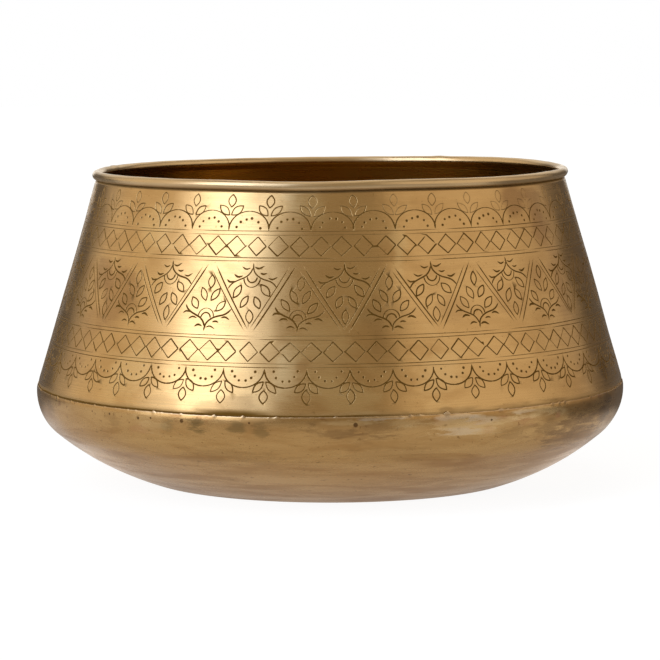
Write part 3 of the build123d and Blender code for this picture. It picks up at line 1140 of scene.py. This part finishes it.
def wall_brass(name, bright, dull):
    """Sheet brass, brushed round the pot, with a brown patina in clouds and in the graver's cuts, darker
    along the joint with the bowl, and with painted shade under the bead and inside."""
    material, graph = start_material(name)
    place, level, angle = on_the_pot(graph, -1.0)
    brushed = graph.noise(place, 9, 900, 3, 0.6)
    scratched = graph.noise(place, 26, 2600, 2, 0.7)
    clouds = graph.noise(place, 26, 38, 4, 0.6, 0.4)
    broad = graph.noise(place, 7, 13)
    fleck = graph.noise(place, 420, 420, 2, 0.6)
    cut = graph.add("Attribute", out="Fac", attribute_name="cut")

    aged = clouds.ramp(0.4, 0.7) * 0.55 + broad.ramp(0.35, 0.7) * 0.45
    base = (aged * 0.75).mix(bright, dull)
    base = (brushed.ramp(0.3, 0.75) * 0.35).mix(base, (0.56, 0.35, 0.145))
    base = fleck.ramp(0.66, 0.74, 0, 0.5).mix(base, (0.25, 0.13, 0.04))
    base = add_patches(graph, base, clouds.ramp(0.25, 0.75, -0.8, 0.8, smooth=False), wall_patches)
    base = level.ramp(bead_level, bead_level + 0.001, 0, 0.6).mix(base, (0.68, 0.50, 0.29))

    # Darkening: patina in the graver's cuts and painted shade under the bead, from the cut attribute; a dark
    # line and a fainter band just above the joint, weaker to the right; smears and soot.
    smudges = graph.noise(place, 22, 60, 3, 0.6)
    joint_height = level - seam_level
    above = joint_height - smudges.ramp(0.3, 0.7) * 0.0006
    dirt_and_shade = cut.ramp(0.008, 0.055, 0.0, 0.95, smooth=False)
    for share in (above.ramp(0.0006, 0.0017, 0.95, 0) * angle.ramp(4, 20, 1, 0.4),
                  above.ramp(0.0012, 0.0032, 0.4, 0) * angle.ramp(4, 20, 1, 0.15),
                  joint_height.ramp(0, 0.005, 1, 0) * smudges.ramp(0.5, 0.62, 0, 0.6),
                  above.ramp(0.001, 0.005, 0.95, 0) * angle.window(-24, -11, 4)):
        dirt_and_shade = dirt_and_shade.math("MAXIMUM", share)
    base = dirt_and_shade.mix(base, (0.115, 0.055, 0.006))
    # Painted shade inside the pot: dark brown where the value is below zero.
    base = (cut.ramp(-0.9, -0.3, 1.0, 0.0) * 0.95).mix(base, (0.37, 0.20, 0.026))

    roughness = brushed.ramp(0.3, 0.7, 0.21, 0.29) + aged * 0.08 + dirt_and_shade * 0.15
    height = brushed * 0.5 + scratched * 0.2 + clouds * 1.2
    finish_metal(graph, base, roughness, height, distance=0.00003, anisotropic=0.55,
                 metallic=dirt_and_shade * -0.9 + 1.0)
    return material


# The darkest pits under the joint: place round the bowl in degrees, height and radius.
bowl_pits = (
    (-64.3, 63.0, 0.8), (-50, 61.3, 0.7), (-44.8, 61.2, 0.9), (-37.5, 60.6, 1.2), (-34.6, 61.4, 0.9),
    (-27.8, 61.0, 1.6), (-14.6, 61.5, 0.9), (4.5, 60.5, 1.8), (30.5, 59.5, 0.9))

# Patches on the bowl: soot, brown patina, rust, and smears of solder.
sooty, rust, solder_grey = (0.17, 0.11, 0.04), (0.46, 0.22, 0.10), (0.64, 0.53, 0.41)
bowl_patches = (
    (-25, 59, 7, 5, 0.7, sooty), (-17, 60, 6, 5, 0.6, sooty), (-12.5, 58, 5, 6, 0.5, sooty),
    (-31, 58, 6, 5, 0.45, sooty), (-44, 57, 9, 5, 0.35, brown), (-68, 58, 9, 6, 0.4, brown),
    (-3, 61, 4, 2.5, 0.6, brown), (0, 55, 20, 4, 0.65, brown), (9, 57, 17, 5, 0.6, brown),
    (5, 52, 20, 3, 0.4, brown), (-20, 38, 40, 6, 0.3, brown), (12, 40, 30, 7, 0.25, brown),
    (36, 50, 14, 6, 0.35, brown), (45, 49, 15, 8, 0.6, brown), (52, 50, 13, 8, 0.7, brown),
    (58, 51, 11, 9, 0.8, brown), (50, 44, 16, 7, 0.4, brown), (65, 53, 12, 11, 0.8, brown),
    (28, 59, 9, 2, 0.5, rust), (33, 61, 6, 2, 0.5, rust), (30, 54, 4, 3, 0.5, rust),
    (47, 58, 3, 3, 0.7, rust), (20, 61, 5, 4, 0.4, rust), (-38, 53, 8, 4, 0.3, rust),
    (38, 57, 12, 3, 0.4, rust), (26, 58, 34, 7, 0.5, pale_wear_and_highlight), (44, 61, 28, 3.5, 0.65, pale_wear_and_highlight),
    (54, 41, 30, 11, 0.5, brown), (-34, 58, 14, 5, 0.3, pale_wear_and_highlight), (14, 61, 12, 4, 0.4, pale_wear_and_highlight),
    (2, 62, 16, 2, 0.4, pale_wear_and_highlight), (10, 64.0, 22, 0.9, 0.6, solder_grey), (23, 63, 16, 1.6, 0.4, solder_grey),
    (29, 60.5, 12, 3.0, 0.3, solder_grey), (24, 54, 14, 2.6, 0.3, solder_grey),
    (38, 62.5, 10, 1.2, 0.3, solder_grey), (110, 56, 26, 6, 0.5, brown), (150, 58, 20, 4, 0.5, sooty),
    (-150, 52, 34, 8, 0.4, brown), (-100, 58, 18, 5, 0.4, rust), (175, 60, 16, 2.5, 0.6, solder_grey))


def bowl_brass():
    """Spun brass, smoother than the wall, mottled and a little pitted, with a painted highlight along its top
    edge.
    """
    material, graph = start_material("bowl_brass_look")
    place, level, angle = on_the_pot(graph, 1.0)
    brushed = graph.noise(place, 8, 700, 2, 0.6)
    clouds = graph.noise(place, 17, 70, 5, 0.62, 0.6)
    broad = graph.noise(place, 7, 26, 3, 0.55, 0.4)
    fleck = graph.noise(place, 330, 330, 2, 0.6)
    pitted = fleck.ramp(0.65, 0.72, 0, 0.6)
    aged = clouds.ramp(0.38, 0.66) * 0.6 + broad.ramp(0.35, 0.7) * 0.5
    base = (aged * 0.8).mix((0.54, 0.33, 0.13), (0.34, 0.17, 0.052))
    base = pitted.mix(base, (0.20, 0.10, 0.03))

    # Near the joint: rusty smudges, the patches, a painted highlight along the top edge, and a few pits.
    joint_height = level - seam_level
    rusty = joint_height.ramp(-0.009, -0.003) * graph.noise(place, 70, 120, 3, 0.6).ramp(0.55, 0.68)
    base = (rusty * 0.6).mix(base, (0.27, 0.12, 0.04))
    ragged = graph.noise(place, 55, 230, 5, 0.7, 0.3).ramp(0.3, 0.7, -0.9, 0.9, smooth=False)
    base = add_patches(graph, base, ragged, bowl_patches)
    # A painted highlight along the bowl's top edge, strongest at the front.
    lip_highlight = joint_height.ramp(-0.0008, -0.0001) * angle.math("ABSOLUTE").ramp(25, 60, 0.45, 0.1)
    base = lip_highlight.mix(base, (0.75, 0.58, 0.38))
    at = graph.add("TexCoord", out="Object")
    for phi, z, size in bowl_pits:
        away = at.vector("DISTANCE", surface_place(phi, z), out="Value")
        base = away.ramp(0.6 * size * MM, size * MM, 0.85, 0).mix(base, (0.10, 0.045, 0.015))
    roughness = clouds.ramp(0.3, 0.7, 0.20, 0.32) + brushed.ramp(0.3, 0.7, 0.0, 0.04)
    finish_metal(graph, base, roughness, brushed * 0.15 + clouds - pitted, distance=0.00006,
                 anisotropic=0.25)
    return material


def plain_metal(name, grain, mottled, light, dark, rough, depth):
    """A dull metal, mottled with scale or rust."""
    material, graph = start_material(name)
    clouds = graph.noise(on_the_pot(graph, -1.0)[0], *grain, 0.6)
    finish_metal(graph, clouds.ramp(*mottled).mix(light, dark), clouds.ramp(0.3, 0.7, *rough), clouds, depth)
    return material


make_wall(wall_brass("wall_brass_look", (0.66, 0.42, 0.18), (0.46, 0.26, 0.095)))
make_bowl(bowl_brass())
make_side_braze(wall_brass("seam_braze_look", (0.64, 0.43, 0.21), (0.48, 0.30, 0.13)))
make_belly_braze(plain_metal(
    "braze_look", grain=(120, 160, 4), mottled=(0.35, 0.7), light=(0.50, 0.36, 0.19),
    dark=(0.28, 0.19, 0.11), rough=(0.35, 0.5), depth=0.0002))
make_wire(plain_metal(
    "wire_look", grain=(90, 300, 3), mottled=(0.4, 0.65), light=(0.13, 0.12, 0.115),
    dark=(0.14, 0.07, 0.035), rough=(0.4, 0.6), depth=0.0001))


# The studio, in metres

floor_half_width = 8
camera_lens = 168.545
camera_place = (-0.0002, -2.1, 0.3168)
camera_drop = radians(5.915)


def make_floor():
    """A white floor. The camera sees it at the backdrop's white, less the pot's faint shadow."""
    material, graph = start_material("floor_look")
    *_, azimuth, reach = round_axis(graph, "Object")

    def diffuse(*shade):
        return graph.add("BsdfDiffuse", shade)

    def glow(strength):
        return graph.add("Emission", (1, 1, 1), strength)

    # The pot mirrors a floor that glows beside it, and is dim behind it and far in front of it.
    behind = azimuth.window(-117, 74, 11) * -1.0 + 1.0
    before = azimuth.window(-60, 60, 20) * reach.ramp(0.36, 0.6, 0, 0.55)
    dim = (behind * reach.ramp(0.24, 0.36, 0, 0.9)).math("MAXIMUM", before)
    beside = azimuth.math("ABSOLUTE").ramp(58, 98, 0.07, 0.5) * reach.ramp(0.155, 0.205, 1, 0)
    mirrored = graph.add("AddShader", glow(beside + 0.40), diffuse(0.5, 0.5, 0.5))
    mirrored = graph.add("MixShader", dim, mirrored, diffuse(0.1, 0.09, 0.08))
    glossy = graph.add("LightPath", out="Is Glossy Ray")
    unseen = graph.add("MixShader", glossy, diffuse(0.85, 0.85, 0.85), mirrored)
    seen = graph.add("AddShader", glow(0.93), diffuse(0.14, 0.14, 0.14))
    graph.add("OutputMaterial", graph.add("MixShader", graph.straight_ray(), unseen, seen))

    mesh, s = bpy.data.meshes.new("studio_floor"), floor_half_width
    mesh.from_pydata([(-s, -s, 0), (s, -s, 0), (s, s, 0), (-s, s, 0)], [], [(0, 1, 2, 3)])
    mesh.materials.append(material)
    place_object("studio_floor", mesh)


# Patches of the studio's light: azimuth range in degrees from the front towards +X, how soft
# the patch's sides are, elevation range, and colour times strength.
studio_patches = (
    ((-70, -31), 15, (-4, 62), (2.0, 2.42, 3.25)),
    ((-134, -44), 12, (-4, 55), (0.66, 0.6, 0.5)),
    ((29.5, 92), 6, (-4, 55), (0.64, 0.58, 0.50)),
    ((92, 127), 6, (-4, 55), (0.48, 0.43, 0.37)),
    ((-180, 180), 15, (70, 95), (0.60, 0.57, 0.50)),
    ((-120, 116), 14, (-90, 90), (0.10, 0.09, 0.07)),
    ((-24, 30), 12, (-4, 60), (0.19, 0.165, 0.12)),
    ((166, 198), 5, (-6, 10), (1.3, 1.3, 1.25)),
    ((140, 220), 12, (16, 70), (0.8, 0.78, 0.72)),
)
studio_ambient = (0.11, 0.095, 0.075)


def make_world():
    """A dim studio with large soft lights. The camera sees plain white."""
    world = bpy.data.worlds.new("studio")
    scene.world = world
    world.use_nodes = True
    graph = Graph(world.node_tree)
    _, _, z, azimuth, reach = round_axis(graph, "Generated")
    elevation = z.math("ARCTAN2", reach) * (180 / pi)
    total = studio_ambient
    for (first, last), soft, (low, high), light in studio_patches:
        middle = (first + last) / 2
        away = (azimuth - middle).math("WRAP", 180.0, -180.0)
        share = away.window(first - middle, last - middle, soft) * elevation.window(low, high, 8)
        patch = graph.add("VectorMath", named={0: light, "Scale": share}, operation="SCALE")
        total = graph.add("VectorMath", total, patch, operation="ADD")
    shown, lit = graph.add("Background", (1, 1, 1), 1.0), graph.add("Background", total, 1.0)
    graph.add("OutputWorld", graph.add("MixShader", graph.straight_ray(), lit, shown))


def make_camera():
    """The photograph's view, from 2.1 m away and a little above the mouth."""
    data = bpy.data.cameras.new("camera")
    data.lens = camera_lens
    camera = place_object("camera", data)
    camera.location = camera_place
    camera.rotation_euler = (pi / 2 - camera_drop, 0, 0)
    scene.camera = camera


make_floor()
make_world()
make_camera()
scene.view_settings.view_transform = "Standard"
